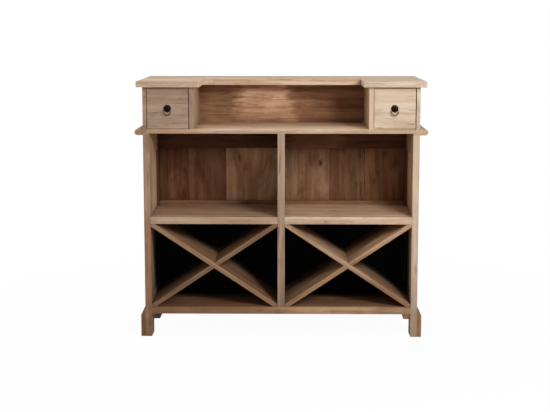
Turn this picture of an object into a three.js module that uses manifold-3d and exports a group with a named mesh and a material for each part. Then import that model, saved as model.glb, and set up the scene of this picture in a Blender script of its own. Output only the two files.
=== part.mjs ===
// Bar counter in reclaimed wood, seen from the barkeeper's side.
// A plank-backed lower carcass on four flared legs carries two open bays and two crossed bottle racks.
// A waist moulding and a thin deck board close it, two drawers flank an open niche above them,
// and a bar top with a set-back middle covers the whole.
// Millimetres, +Z up, +X to the right seen from the barkeeper's side, which faces -Y.
import * as THREE from 'three';
import Module from 'manifold-3d';
import { mergeVertices } from 'three/addons/utils/BufferGeometryUtils.js';

const wasm = await Module();
wasm.setup();

// Heights, stacked from the floor up
const FLOOR_CLEARANCE = 98.5;
const BOTTOM_THICK = 30;
const RACK_HEIGHT = 356.5;
const SHELF_THICK = 30;
const BAY_HEIGHT = 352;
const DECK_THICK = 18;
const DRAWER_BAY_HEIGHT = 175;
const TOP_THICK = 25;

// Widths
const CARCASS_WIDTH = 1153;
const LEG_THICK = 27;
const DIVIDER_THICK = 30;
const UPPER_SIDE_THICK = 16;
const DRAWER_BAY_WIDTH = 177.5;
const DRAWER_WALL_THICK = 18;
const SIDE_OVERHANG = 23.5;
const NOTCH_OVERHANG = 26;
const ARM_STEP = 49;

// Depths, from the carcass front to the customer's side
const FRONT_OVERHANG = 25;
const REAR_OVERHANG = 90;
const NOTCH_DEPTH = 195;
const REAR_BOARD_DEPTH = 140;
const BAY_DEPTH = 350;
const LEG_DEPTH = 82;
const PLANK_RECESS = 3;
const UPPER_BACK_THICK = 20;
const UPPER_BACK_RECESS = 13;

// Feet
const FOOT_FLARE = 19;
const FOOT_HEIGHT = 128;
const FOOT_SLOPE = 35;

// Waist moulding
const MOULDING_THICK = 25;
const MOULDING_REACH = 34.5;
const NOSE_STEPS = 10;

// Frame members
const TOP_RAIL_HEIGHT = 90;
const MID_RAIL_HEIGHT = 60;
const MID_RAIL_RISE = 17;
const LOW_RAIL_HEIGHT = 47;
const SIDE_LOW_RAIL_HEIGHT = 70;
const BACK_RAIL_THICK = 20;
const SIDE_RAIL_THICK = 22;
const TENON_THICK = 10;
const TENON_SHOULDER = 10;
const SIDE_TENON = 25;
const BACK_TENON = 20;
const PANEL_THICK = 12;
const PANEL_GROOVE = 8;
const HOUSING = 7;
const HOUSING_STOP = 12;
const UPPER_HOUSING = 6;

// Back planks, left to right; the last one takes up what is left
const PLANK_WIDTHS = [127, 171, 240, 226, 156];
const PLANK_THICK = 12;
const PLANK_TONGUE = 6;
const PLANK_TONGUE_THICK = 4;
const PLANK_BEVEL = 1.5;

// Crossed rack boards
const RACK_THICK = 19;
const RACK_SETBACK = 2;
const RACK_REAR_GAP = 5;

// Drawers
const DRAWER_GAP_LEFT = 3.5;
const DRAWER_GAP_RIGHT = 6.5;
const DRAWER_GAP_LOW = 4;
const DRAWER_GAP_HIGH = 6.5;
const DRAWER_FRONT_THICK = 20;
const DRAWER_LAP = 10;
const DRAWER_SIDE_THICK = 12;
const DRAWER_SIDE_HEIGHT = 145;
const DRAWER_BOTTOM_THICK = 6;
const DRAWER_BOTTOM_RISE = 12;
const DRAWER_GROOVE = 6;
const DRAWER_BACK_THICK = 12;
const DRAWER_BACK_INSET = 12;
const DRAWER_BACK_DADO = 5;
const TAIL_COUNT = 3;
const TAIL_PITCH = 48;
const TAIL_LOW = 9.5;
const TAIL_WIDTH = 30;
const TAIL_FLARE = 2.5;

// Ring pulls
const PULL_HEIGHT = 86;
const ROSETTE_RADIUS = 15.5;
const ROSETTE_RISE = 6;
const ROSETTE_RIM = 1.2;
const SHANK_RADIUS = 2.2;
const EYE_RADIUS = 3.6;
const EYE_WIRE = 1.3;
const RIVET_RADIUS = 4.5;
const RIVET_THICK = 2;
const RING_RADIUS = 13.75;
const RING_WIRE = 1.75;

// Clearance between pieces that slide or seat in each other
const CLEAR = 0.3;

// Levels and planes that follow from the dimensions above
const bottomTop = FLOOR_CLEARANCE + BOTTOM_THICK;
const shelfLow = bottomTop + RACK_HEIGHT;
const shelfTop = shelfLow + SHELF_THICK;
const deckLow = shelfTop + BAY_HEIGHT;
const deckTop = deckLow + DECK_THICK;
const legTop = deckTop - MOULDING_THICK;
const upperTop = deckTop + DRAWER_BAY_HEIGHT;
const halfWidth = CARCASS_WIDTH / 2;
const legInner = halfWidth - LEG_THICK;
const legMiddle = halfWidth - LEG_THICK / 2;
const upperInner = halfWidth - UPPER_SIDE_THICK;
const bayInner = upperInner - DRAWER_BAY_WIDTH;
const nicheWall = bayInner - DRAWER_WALL_THICK;
const notchEdge = nicheWall - NOTCH_OVERHANG;
const topHalf = halfWidth + SIDE_OVERHANG;
const railRear = BAY_DEPTH + BACK_RAIL_THICK;
const carcassDepth = railRear + PLANK_THICK + PLANK_RECESS;
const nicheDepth = carcassDepth - UPPER_BACK_RECESS - UPPER_BACK_THICK;
const topDepth = FRONT_OVERHANG + carcassDepth + REAR_OVERHANG;
const carcassFront = FRONT_OVERHANG - topDepth / 2;
const rearLegFront = carcassDepth - LEG_DEPTH;
const deckRear = carcassDepth - UPPER_SIDE_THICK;

// One material for each kind of board, and black iron for the pulls
function wood(colour, roughness) {
  return new THREE.MeshStandardMaterial({ color: colour, roughness, metalness: 0 });
}
const FRAME_WOOD = wood(0xae8a69, 0.72);
const SHELF_WOOD = wood(0xb6916f, 0.7);
const PLANK_WOOD = wood(0x9a7352, 0.78);
const RACK_WOOD = wood(0xa17c5a, 0.75);
const DRAWER_WOOD = wood(0xb99a7c, 0.7);
const LINING_WOOD = wood(0xc0a283, 0.8);
const TOP_WOOD = wood(0xc2a084, 0.62);
const BLACK_IRON = new THREE.MeshStandardMaterial({ color: 0x1d1a1b, roughness: 0.5, metalness: 0.85 });

function toSolid(geometry) {
  const bare = geometry.clone();
  bare.deleteAttribute('normal');
  bare.deleteAttribute('uv');
  const merged = mergeVertices(bare, 1e-4);
  return new wasm.Manifold(new wasm.Mesh({
    numProp: 3,
    vertProperties: merged.attributes.position.array,
    triVerts: new Uint32Array(merged.index.array),
  }));
}

function toGeometry(solid) {
  const mesh = solid.getMesh();
  const geometry = new THREE.BufferGeometry();
  geometry.setAttribute('position', new THREE.BufferAttribute(new Float32Array(mesh.vertProperties), 3));
  geometry.setIndex(new THREE.BufferAttribute(new Uint32Array(mesh.triVerts), 1));
  geometry.computeVertexNormals();
  return geometry;
}

function place(parent, name, material, geometry, at = [0, 0, 0]) {
  const mesh = new THREE.Mesh(geometry, material);
  mesh.name = name;
  mesh.position.set(...at);
  parent.add(mesh);
  return mesh;
}

function boxBetween(from, to, centre) {
  const size = to.map((v, i) => v - from[i]);
  const geometry = new THREE.BoxGeometry(...size);
  return geometry.translate(...from.map((v, i) => v + size[i] / 2 - centre[i]));
}

// A board given by two corners; tongues are added to it and cuts are taken out of it
function board(parent, name, material, from, to, { tongues = [], cuts = [] } = {}) {
  const centre = from.map((v, i) => (v + to[i]) / 2);
  let geometry = boxBetween(from, to, centre);
  if (tongues.length + cuts.length > 0) {
    let body = toSolid(geometry);
    for (const [a, b] of tongues) {
      body = body.add(toSolid(boxBetween(a, b, centre)));
    }
    for (const [a, b] of cuts) {
      body = body.subtract(toSolid(boxBetween(a, b, centre)));
    }
    geometry = toGeometry(body);
  }
  return place(parent, name, material, geometry, centre);
}

// The same box on the right side or mirrored to the left
function sided(side, from, to) {
  if (side > 0) return [from, to];
  return [[-to[0], from[1], from[2]], [-from[0], to[1], to[2]]];
}

function outline(points) {
  return new THREE.Shape(points.map(([x, y]) => new THREE.Vector2(x, y)));
}

function extrude(points, depth) {
  return new THREE.ExtrudeGeometry(outline(points), { depth, bevelEnabled: false, curveSegments: 24 });
}

const AXIS_X = new THREE.Vector3(1, 0, 0);
const AXIS_Y = new THREE.Vector3(0, 1, 0);
const AXIS_Z = new THREE.Vector3(0, 0, 1);
// An outline drawn in X and Z, extruded towards the barkeeper
const ALONG_Y = new THREE.Matrix4().makeBasis(AXIS_X, AXIS_Z, AXIS_Y.clone().negate());
// An outline drawn in Y and Z, extruded to the right
const ALONG_X = new THREE.Matrix4().makeBasis(AXIS_Y, AXIS_Z, AXIS_X);
// A turned profile whose axis points at the barkeeper
const TURNED = new THREE.Matrix4().makeBasis(AXIS_X, AXIS_Y.clone().negate(), AXIS_Z.clone().negate());

const counter = new THREE.Group();
counter.name = 'bar_counter';
const lower = new THREE.Group();
lower.name = 'lower_carcass';
lower.position.set(0, carcassFront, 0);
const upper = new THREE.Group();
upper.name = 'drawer_section';
upper.position.set(0, carcassFront, deckTop);
const top = new THREE.Group();
top.name = 'bar_top';
top.position.set(0, -topDepth / 2, upperTop);
counter.add(lower, upper, top);

// Rails of the back: lower edge and height of each
const BACK_RAILS = {
  back_rail_top: [legTop - TOP_RAIL_HEIGHT, TOP_RAIL_HEIGHT],
  back_rail_middle: [shelfTop + MID_RAIL_RISE - MID_RAIL_HEIGHT, MID_RAIL_HEIGHT],
  back_rail_bottom: [FLOOR_CLEARANCE, LOW_RAIL_HEIGHT],
};
const SIDE_RAILS = {
  side_rail_top: [legTop - TOP_RAIL_HEIGHT, TOP_RAIL_HEIGHT],
  side_rail_bottom: [FLOOR_CLEARANCE, SIDE_LOW_RAIL_HEIGHT],
};
const panelLow = FLOOR_CLEARANCE + SIDE_LOW_RAIL_HEIGHT - PANEL_GROOVE;
const panelHigh = legTop - TOP_RAIL_HEIGHT + PANEL_GROOVE;

// Legs: grooved for the side panel, mortised for the rails and housed for the shelf and the bottom board
function leg(name, side, front) {
  const y0 = front ? 0 : rearLegFront;
  const y1 = y0 + LEG_DEPTH;
  const into = (depth) => (front ? [y1 - depth, y1 + 1] : [y0 - 1, y0 + depth]);
  const cuts = [];
  const groove = into(PANEL_GROOVE + CLEAR);
  const grooveHalf = PANEL_THICK / 2 + CLEAR;
  cuts.push([
    [legMiddle - grooveHalf, groove[0], panelLow - CLEAR],
    [legMiddle + grooveHalf, groove[1], panelHigh + CLEAR],
  ]);
  const mortise = into(SIDE_TENON + CLEAR);
  const mortiseHalf = TENON_THICK / 2 + CLEAR;
  for (const [low, height] of Object.values(SIDE_RAILS)) {
    cuts.push([
      [legMiddle - mortiseHalf, mortise[0], low + TENON_SHOULDER - CLEAR],
      [legMiddle + mortiseHalf, mortise[1], low + height - TENON_SHOULDER + CLEAR],
    ]);
  }
  const stop = front ? HOUSING_STOP : y0 - 1;
  const reach = front ? y1 + 1 : BAY_DEPTH + CLEAR;
  for (const [low, high] of [[FLOOR_CLEARANCE, bottomTop], [shelfLow, shelfTop]]) {
    cuts.push([
      [legInner - 1, stop, low - CLEAR],
      [legInner + HOUSING + CLEAR, reach, high + CLEAR],
    ]);
  }
  if (!front) {
    const middle = BAY_DEPTH + BACK_RAIL_THICK / 2;
    for (const [low, height] of Object.values(BACK_RAILS)) {
      cuts.push([
        [legInner - 1, middle - mortiseHalf, low + TENON_SHOULDER - CLEAR],
        [legInner + BACK_TENON + CLEAR, middle + mortiseHalf, low + height - TENON_SHOULDER + CLEAR],
      ]);
    }
  }
  const [from, to] = sided(side, [legInner, y0, 0], [halfWidth, y1, legTop]);
  board(lower, name, FRAME_WOOD, from, to, { cuts: cuts.map(([a, b]) => sided(side, a, b)) });
}

// Foot blocks: glued to the outer face of each leg and sloped back to it at the top
function footBlock(name, side, front) {
  const points = [
    [0, 0],
    [FOOT_FLARE, 0],
    [FOOT_FLARE, FOOT_HEIGHT - FOOT_SLOPE],
    [2, FOOT_HEIGHT],
    [0, FOOT_HEIGHT],
  ].map(([x, z]) => [x * side, z]);
  const geometry = extrude(points, LEG_DEPTH).applyMatrix4(ALONG_Y);
  const rear = front ? LEG_DEPTH : carcassDepth;
  place(lower, name, FRAME_WOOD, geometry, [side * halfWidth, rear, 0]);
}

// Side rails: tenoned into both legs and grooved for the panel; the bottom one is rebated for the bottom board
function sideRail(name, side, [low, height], grooveOnTop) {
  const half = SIDE_RAIL_THICK / 2;
  const tenon = TENON_THICK / 2;
  const groove = PANEL_THICK / 2 + CLEAR;
  const high = low + height;
  const tongues = [[
    [legMiddle - tenon, LEG_DEPTH - SIDE_TENON, low + TENON_SHOULDER],
    [legMiddle + tenon, rearLegFront + SIDE_TENON, high - TENON_SHOULDER],
  ]];
  const cuts = [[
    [legMiddle - groove, LEG_DEPTH - 1, grooveOnTop ? high - PANEL_GROOVE - CLEAR : low - 1],
    [legMiddle + groove, rearLegFront + 1, grooveOnTop ? high + 1 : low + PANEL_GROOVE + CLEAR],
  ]];
  if (grooveOnTop) {
    cuts.push([
      [legMiddle - half - 1, LEG_DEPTH - 1, low - 1],
      [legInner + HOUSING + CLEAR, rearLegFront + 1, bottomTop + CLEAR],
    ]);
  }
  const [from, to] = sided(side, [legMiddle - half, LEG_DEPTH, low], [legMiddle + half, rearLegFront, high]);
  board(lower, name, FRAME_WOOD, from, to, {
    tongues: tongues.map(([a, b]) => sided(side, a, b)),
    cuts: cuts.map(([a, b]) => sided(side, a, b)),
  });
}

for (const [label, side] of [['left', -1], ['right', 1]]) {
  leg(`leg_front_${label}`, side, true);
  leg(`leg_rear_${label}`, side, false);
  footBlock(`foot_front_${label}`, side, true);
  footBlock(`foot_rear_${label}`, side, false);
  sideRail(`side_rail_top_${label}`, side, SIDE_RAILS.side_rail_top, false);
  sideRail(`side_rail_bottom_${label}`, side, SIDE_RAILS.side_rail_bottom, true);
  const [from, to] = sided(
    side,
    [legMiddle - PANEL_THICK / 2, LEG_DEPTH - PANEL_GROOVE, panelLow],
    [legMiddle + PANEL_THICK / 2, rearLegFront + PANEL_GROOVE, panelHigh],
  );
  board(lower, `side_panel_${label}`, PLANK_WOOD, from, to);
}

// Back rails: tenoned into the rear legs, with the planks nailed behind them
for (const [name, [low, height]] of Object.entries(BACK_RAILS)) {
  const middle = BAY_DEPTH + BACK_RAIL_THICK / 2;
  const tongue = [
    [-legInner - BACK_TENON, middle - TENON_THICK / 2, low + TENON_SHOULDER],
    [legInner + BACK_TENON, middle + TENON_THICK / 2, low + height - TENON_SHOULDER],
  ];
  board(lower, name, FRAME_WOOD, [-legInner, BAY_DEPTH, low], [legInner, railRear, low + height], {
    tongues: [tongue],
  });
}

// Back planks: tongue and groove with a small V at each joint, standing between the rear legs
function plankOutline(width, first, last) {
  const half = PLANK_THICK / 2;
  const tongue = PLANK_TONGUE_THICK / 2;
  const groove = tongue + CLEAR;
  const b = PLANK_BEVEL;
  const points = [];
  if (first) {
    points.push([0, -half], [0, half]);
  } else {
    points.push([b, -half], [0, b - half], [0, -groove], [PLANK_TONGUE + CLEAR, -groove]);
    points.push([PLANK_TONGUE + CLEAR, groove], [0, groove], [0, half - b], [b, half]);
  }
  if (last) {
    points.push([width, half], [width, -half]);
  } else {
    points.push([width - b, half], [width, half - b], [width, tongue], [width + PLANK_TONGUE, tongue]);
    points.push([width + PLANK_TONGUE, -tongue], [width, -tongue], [width, b - half], [width - b, -half]);
  }
  return points;
}

const plankRun = 2 * (legInner - CLEAR);
const lastPlank = plankRun - PLANK_WIDTHS.reduce((sum, w) => sum + w, 0);
let plankLeft = CLEAR - legInner;
[...PLANK_WIDTHS, lastPlank].forEach((width, i, all) => {
  const points = plankOutline(width - CLEAR, i === 0, i === all.length - 1);
  const geometry = extrude(points, legTop - FLOOR_CLEARANCE);
  const at = [plankLeft, railRear + PLANK_THICK / 2, FLOOR_CLEARANCE];
  place(lower, `back_plank_${i + 1}`, PLANK_WOOD, geometry, at);
  plankLeft += width;
});

// Bottom board: between the legs, with its ends housed in legs and side rails
board(lower, 'bottom_board', SHELF_WOOD, [-legInner, 0, FLOOR_CLEARANCE], [legInner, BAY_DEPTH, bottomTop], {
  tongues: [[
    [-legInner - HOUSING, HOUSING_STOP + CLEAR, FLOOR_CLEARANCE],
    [legInner + HOUSING, BAY_DEPTH, bottomTop],
  ]],
});

// Centre divider: stands on the bottom board and is housed for a shelf on each side
const dividerHalf = DIVIDER_THICK / 2;
board(lower, 'centre_divider', FRAME_WOOD, [-dividerHalf, 0, bottomTop], [dividerHalf, BAY_DEPTH, deckLow], {
  cuts: [-1, 1].map((side) => sided(
    side,
    [dividerHalf - HOUSING - CLEAR, HOUSING_STOP, shelfLow - CLEAR],
    [dividerHalf + 1, BAY_DEPTH + 1, shelfTop + CLEAR],
  )),
});

for (const [label, side] of [['left', -1], ['right', 1]]) {
  const [from, to] = sided(side, [dividerHalf, 0, shelfLow], [legInner, BAY_DEPTH, shelfTop]);
  const tongue = sided(
    side,
    [dividerHalf - HOUSING, HOUSING_STOP + CLEAR, shelfLow],
    [legInner + HOUSING, BAY_DEPTH, shelfTop],
  );
  board(lower, `shelf_${label}`, SHELF_WOOD, from, to, { tongues: [tongue] });
}

// Bottle racks: two boards from corner to corner, halved into each other where they cross
const rackLeft = dividerHalf + CLEAR;
const rackWidth = legInner - CLEAR - rackLeft;
const rackRise = RACK_HEIGHT - 2 * CLEAR;
const rackDepth = BAY_DEPTH - RACK_REAR_GAP - RACK_SETBACK;

// Outline of a diagonal strip with its ends cut to fit both corners, drawn about the middle of the bay
function rackOutline(rising) {
  const angle = Math.atan2(rackRise, rackWidth);
  const along = RACK_THICK / 2 / Math.sin(angle);
  const up = RACK_THICK / 2 / Math.cos(angle);
  const x = rackWidth / 2;
  const z = rackRise / 2;
  const points = [
    [-x, -z],
    [along - x, -z],
    [x, z - up],
    [x, z],
    [x - along, z],
    [-x, up - z],
  ];
  return rising ? points : points.map(([px, pz]) => [-px, pz]);
}

// The other board's path through this one, with the fitting clearance
function rackSlot(rising) {
  const angle = Math.atan2(rackRise, rackWidth) * (rising ? 1 : -1);
  const slot = new THREE.BoxGeometry(RACK_THICK * 6, rackDepth, RACK_THICK + 2 * CLEAR);
  return slot.rotateY(-angle);
}

for (const [label, side] of [['left', -1], ['right', 1]]) {
  for (const rising of [true, false]) {
    const whole = extrude(rackOutline(rising), rackDepth).applyMatrix4(ALONG_Y).translate(0, rackDepth / 2, 0);
    const shift = (rackDepth / 2 - CLEAR / 2) * (rising ? -1 : 1);
    const slot = rackSlot(!rising).translate(0, shift, 0);
    const geometry = toGeometry(toSolid(whole).subtract(toSolid(slot)));
    const name = `rack_${label}_${rising ? 'rising' : 'falling'}`;
    const middle = side * (rackLeft + rackWidth / 2);
    place(lower, name, RACK_WOOD, geometry, [
      middle,
      RACK_SETBACK + rackDepth / 2,
      bottomTop + RACK_HEIGHT / 2,
    ]);
  }
}

// Waist moulding: rebated for the deck board, half-round at the nose, mitred at the customer's corners
function mouldingOutline(mirror) {
  const radius = MOULDING_THICK / 2;
  const nose = MOULDING_REACH - radius;
  const points = [[-LEG_THICK, 0]];
  for (let i = 0; i <= NOSE_STEPS; i += 1) {
    const a = -Math.PI / 2 + Math.PI * i / NOSE_STEPS;
    points.push([nose + radius * Math.cos(a), radius + radius * Math.sin(a)]);
  }
  points.push([-UPPER_SIDE_THICK, MOULDING_THICK]);
  points.push([-UPPER_SIDE_THICK, MOULDING_THICK - DECK_THICK]);
  points.push([-LEG_THICK, MOULDING_THICK - DECK_THICK]);
  return points.map(([u, z]) => [u * mirror, z]);
}

// Slides the vertices of one end along the run by their own reach, which makes a 45 degree cut
function mitre(geometry, end, slope) {
  const p = geometry.attributes.position;
  for (let i = 0; i < p.count; i += 1) {
    if (Math.abs(p.getZ(i) - end) < 1e-6) p.setZ(i, end + slope * p.getX(i));
  }
  return geometry;
}

for (const [label, side] of [['left', -1], ['right', 1]]) {
  const run = extrude(mouldingOutline(side), carcassDepth - CLEAR);
  const geometry = mitre(run, 0, -side).applyMatrix4(ALONG_Y);
  place(lower, `waist_moulding_${label}`, FRAME_WOOD, geometry, [side * halfWidth, carcassDepth - CLEAR, legTop]);
}
const rearRun = extrude(mouldingOutline(1), CARCASS_WIDTH);
const rearMoulding = mitre(mitre(rearRun, 0, -1), CARCASS_WIDTH, 1).applyMatrix4(ALONG_X);
place(lower, 'waist_moulding_rear', FRAME_WOOD, rearMoulding, [-halfWidth, carcassDepth, legTop]);

// Deck board: the niche floor, which also carries the drawers
board(lower, 'deck_board', SHELF_WOOD, [-upperInner, 0, deckLow], [upperInner, deckRear, deckTop]);

// Drawer section: outer sides, niche walls and one wide board behind
for (const [label, side] of [['left', -1], ['right', 1]]) {
  const [from, to] = sided(side, [upperInner, 0, 0], [halfWidth, carcassDepth, DRAWER_BAY_HEIGHT]);
  const housing = sided(
    side,
    [upperInner - 1, nicheDepth - CLEAR, -1],
    [upperInner + UPPER_HOUSING + CLEAR, nicheDepth + UPPER_BACK_THICK + CLEAR, DRAWER_BAY_HEIGHT + 1],
  );
  board(upper, `upper_side_${label}`, FRAME_WOOD, from, to, { cuts: [housing] });
  const wall = sided(side, [nicheWall, 0, 0], [bayInner, nicheDepth, DRAWER_BAY_HEIGHT]);
  board(upper, `niche_wall_${label}`, FRAME_WOOD, ...wall);
}
const upperBackHalf = upperInner + UPPER_HOUSING;
board(
  upper,
  'niche_back',
  PLANK_WOOD,
  [-upperBackHalf, nicheDepth, 0],
  [upperBackHalf, nicheDepth + UPPER_BACK_THICK, DRAWER_BAY_HEIGHT],
);

// Bar top: a rear plank along the customer's edge, an arm over each drawer and a set-back middle
const rearLine = topDepth - REAR_BOARD_DEPTH;
const seam = ARM_STEP - notchEdge;
place(top, 'top_arm_left', TOP_WOOD, extrude([
  [-topHalf, 0],
  [-notchEdge, 0],
  [-notchEdge, NOTCH_DEPTH],
  [seam, NOTCH_DEPTH],
  [seam, rearLine],
  [-topHalf, rearLine],
], TOP_THICK));
board(top, 'top_arm_right', TOP_WOOD, [notchEdge, 0, 0], [topHalf, rearLine, TOP_THICK]);
board(top, 'top_middle', TOP_WOOD, [seam, NOTCH_DEPTH, 0], [notchEdge, rearLine, TOP_THICK]);
board(top, 'top_rear', TOP_WOOD, [-topHalf, rearLine, 0], [topHalf, topDepth, TOP_THICK]);

// Drawers: sides dovetailed into the back of the front, bottom in grooves, back in dados
const drawerWidth = DRAWER_BAY_WIDTH - DRAWER_GAP_LEFT - DRAWER_GAP_RIGHT;
const drawerHalf = drawerWidth / 2;
const boxInner = drawerHalf - DRAWER_SIDE_THICK;
const drawerRear = nicheDepth - CLEAR;
const frontHigh = DRAWER_BAY_HEIGHT - DRAWER_GAP_HIGH;
const floorLow = DRAWER_BOTTOM_RISE + CLEAR;
const floorHigh = floorLow + DRAWER_BOTTOM_THICK;

// Tails of one drawer side, wider towards the front; grown by the clearance they are the sockets
function dovetails(side, grow, centre) {
  const width = DRAWER_SIDE_THICK + grow;
  return Array.from({ length: TAIL_COUNT }, (_, i) => {
    const low = TAIL_LOW + i * TAIL_PITCH - grow;
    const high = low + TAIL_WIDTH + 2 * grow;
    const tip = DRAWER_LAP + CLEAR - grow;
    const root = DRAWER_FRONT_THICK + CLEAR;
    const tail = extrude([[tip, low], [root, low + TAIL_FLARE], [root, high - TAIL_FLARE], [tip, high]], width);
    const inner = boxInner - grow;
    tail.applyMatrix4(ALONG_X).translate(side > 0 ? inner : -inner - width, 0, 0);
    return toSolid(tail.translate(...centre.map((v) => -v)));
  });
}

function drawer(label, bayMiddle) {
  const group = new THREE.Group();
  group.name = `drawer_${label}`;
  group.position.set(bayMiddle + (DRAWER_GAP_LEFT - DRAWER_GAP_RIGHT) / 2, 0, 0);
  upper.add(group);
  const hole = new THREE.CylinderGeometry(SHANK_RADIUS + CLEAR, SHANK_RADIUS + CLEAR, DRAWER_FRONT_THICK + 2, 24);
  const grooveHalf = boxInner + DRAWER_GROOVE + CLEAR;
  const groove = [
    [-grooveHalf, DRAWER_FRONT_THICK - DRAWER_GROOVE - CLEAR, floorLow - CLEAR],
    [grooveHalf, DRAWER_FRONT_THICK + 1, floorHigh + CLEAR],
  ];
  const front = board(
    group,
    `drawer_${label}_front`,
    DRAWER_WOOD,
    [-drawerHalf, 0, DRAWER_GAP_LOW],
    [drawerHalf, DRAWER_FRONT_THICK, frontHigh],
    { cuts: [groove] },
  );
  const frontCentre = front.position.toArray();
  hole.translate(0, 0, PULL_HEIGHT - frontCentre[2]);
  const sockets = [-1, 1].flatMap((side) => dovetails(side, CLEAR, frontCentre));
  const carved = [toSolid(hole), ...sockets].reduce((solid, cut) => solid.subtract(cut), toSolid(front.geometry));
  front.geometry = toGeometry(carved);

  const backFront = drawerRear - DRAWER_BACK_INSET - DRAWER_BACK_THICK;
  for (const [end, side] of [['left', -1], ['right', 1]]) {
    const [from, to] = sided(
      side,
      [boxInner, DRAWER_FRONT_THICK, CLEAR],
      [drawerHalf, drawerRear, DRAWER_SIDE_HEIGHT],
    );
    const floorGroove = sided(
      side,
      [boxInner - 1, DRAWER_LAP, floorLow - CLEAR],
      [boxInner + DRAWER_GROOVE + CLEAR, drawerRear + 1, floorHigh + CLEAR],
    );
    const dado = sided(
      side,
      [boxInner - 1, backFront - CLEAR, floorHigh],
      [boxInner + DRAWER_BACK_DADO + CLEAR, backFront + DRAWER_BACK_THICK + CLEAR, DRAWER_SIDE_HEIGHT + 1],
    );
    const wall = board(group, `drawer_${label}_side_${end}`, LINING_WOOD, from, to, { cuts: [dado] });
    const tailed = dovetails(side, 0, wall.position.toArray())
      .reduce((solid, tail) => solid.add(tail), toSolid(wall.geometry));
    const ploughed = tailed.subtract(toSolid(boxBetween(...floorGroove, wall.position.toArray())));
    wall.geometry = toGeometry(ploughed);
  }
  board(
    group,
    `drawer_${label}_back`,
    LINING_WOOD,
    [-boxInner - DRAWER_BACK_DADO, backFront, floorHigh + CLEAR],
    [boxInner + DRAWER_BACK_DADO, backFront + DRAWER_BACK_THICK, DRAWER_SIDE_HEIGHT],
  );
  board(
    group,
    `drawer_${label}_bottom`,
    LINING_WOOD,
    [-boxInner - DRAWER_GROOVE, DRAWER_FRONT_THICK - DRAWER_GROOVE, floorLow],
    [boxInner + DRAWER_GROOVE, drawerRear, floorHigh],
  );
  pull(group, label);
}

// Ring pull: a domed rosette, an eye pin riveted behind the drawer front and a loose ring in the eye
function pull(parent, label) {
  const group = new THREE.Group();
  group.name = `pull_${label}`;
  group.position.set(0, 0, PULL_HEIGHT);
  parent.add(group);

  const bore = SHANK_RADIUS + CLEAR;
  const dome = [[bore, 0], [ROSETTE_RADIUS, 0], [ROSETTE_RADIUS, ROSETTE_RIM]];
  for (let i = 1; i <= 8; i += 1) {
    const a = Math.PI / 2 * i / 9;
    dome.push([
      ROSETTE_RADIUS * Math.cos(a),
      ROSETTE_RIM + (ROSETTE_RISE - ROSETTE_RIM) * Math.sin(a),
    ]);
  }
  dome.push([bore, ROSETTE_RISE], [bore, 0]);
  const rosette = new THREE.LatheGeometry(dome.map(([r, y]) => new THREE.Vector2(r, y)), 36);
  place(group, `pull_${label}_rosette`, BLACK_IRON, rosette.applyMatrix4(TURNED));

  const eyeReach = ROSETTE_RISE + EYE_RADIUS + EYE_WIRE;
  const rivetFace = DRAWER_FRONT_THICK + CLEAR;
  const shank = [
    [0, -rivetFace - RIVET_THICK],
    [RIVET_RADIUS * 0.7, -rivetFace - RIVET_THICK],
    [RIVET_RADIUS, -rivetFace - RIVET_THICK * 0.4],
    [RIVET_RADIUS, -rivetFace],
    [SHANK_RADIUS, -rivetFace],
    [SHANK_RADIUS, eyeReach - EYE_RADIUS],
    [0, eyeReach - EYE_RADIUS],
  ];
  const pin = new THREE.LatheGeometry(shank.map(([r, y]) => new THREE.Vector2(r, y)), 24).applyMatrix4(TURNED);
  const eye = new THREE.TorusGeometry(EYE_RADIUS, EYE_WIRE, 12, 32).rotateY(Math.PI / 2);
  eye.translate(0, -eyeReach, 0);
  const pinBody = toGeometry(toSolid(pin).add(toSolid(eye)));
  place(group, `pull_${label}_eye_pin`, BLACK_IRON, pinBody);

  const drop = EYE_RADIUS - EYE_WIRE - RING_WIRE - CLEAR;
  const ring = new THREE.TorusGeometry(RING_RADIUS, RING_WIRE, 14, 48).rotateX(Math.PI / 2);
  place(group, `pull_${label}_ring`, BLACK_IRON, ring, [0, -eyeReach, -drop - RING_RADIUS]);
}

const bayMiddle = (bayInner + upperInner) / 2;
drawer('left', -bayMiddle);
drawer('right', bayMiddle);

export default counter;
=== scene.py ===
# %% [markdown]
# # A bar counter in reclaimed wood
# The counter is shown from the barkeeper's side, as in the photograph. The imported model already has
# every board at its real size, so this lesson adds what a solid can't hold: softened edges, grain,
# knots, wear and dirt, painted light and shade, black iron, a camera and studio light.

# %% Load the imported model
import math
import bmesh
import bpy
from mathutils import Matrix, Vector


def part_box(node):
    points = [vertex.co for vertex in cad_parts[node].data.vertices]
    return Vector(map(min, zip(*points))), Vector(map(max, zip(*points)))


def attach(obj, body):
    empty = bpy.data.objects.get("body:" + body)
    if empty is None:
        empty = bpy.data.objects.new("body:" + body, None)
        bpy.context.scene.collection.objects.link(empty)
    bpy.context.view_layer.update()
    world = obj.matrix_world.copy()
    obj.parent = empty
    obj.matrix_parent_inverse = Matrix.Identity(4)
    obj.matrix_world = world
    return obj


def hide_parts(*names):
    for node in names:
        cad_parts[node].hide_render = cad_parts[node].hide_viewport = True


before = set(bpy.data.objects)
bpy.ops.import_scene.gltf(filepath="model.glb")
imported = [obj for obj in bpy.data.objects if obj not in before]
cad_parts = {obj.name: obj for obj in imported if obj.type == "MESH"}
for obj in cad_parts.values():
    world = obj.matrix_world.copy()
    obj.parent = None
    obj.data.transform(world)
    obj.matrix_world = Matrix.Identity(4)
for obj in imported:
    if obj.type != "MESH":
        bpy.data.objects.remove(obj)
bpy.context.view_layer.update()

scene = bpy.context.scene

# %% [markdown]
# ## Small helpers for node trees
# A material is a graph. Writing each node by hand takes four lines, so one helper adds a node, sets its
# options, and either links a socket or fills in its value.

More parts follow.
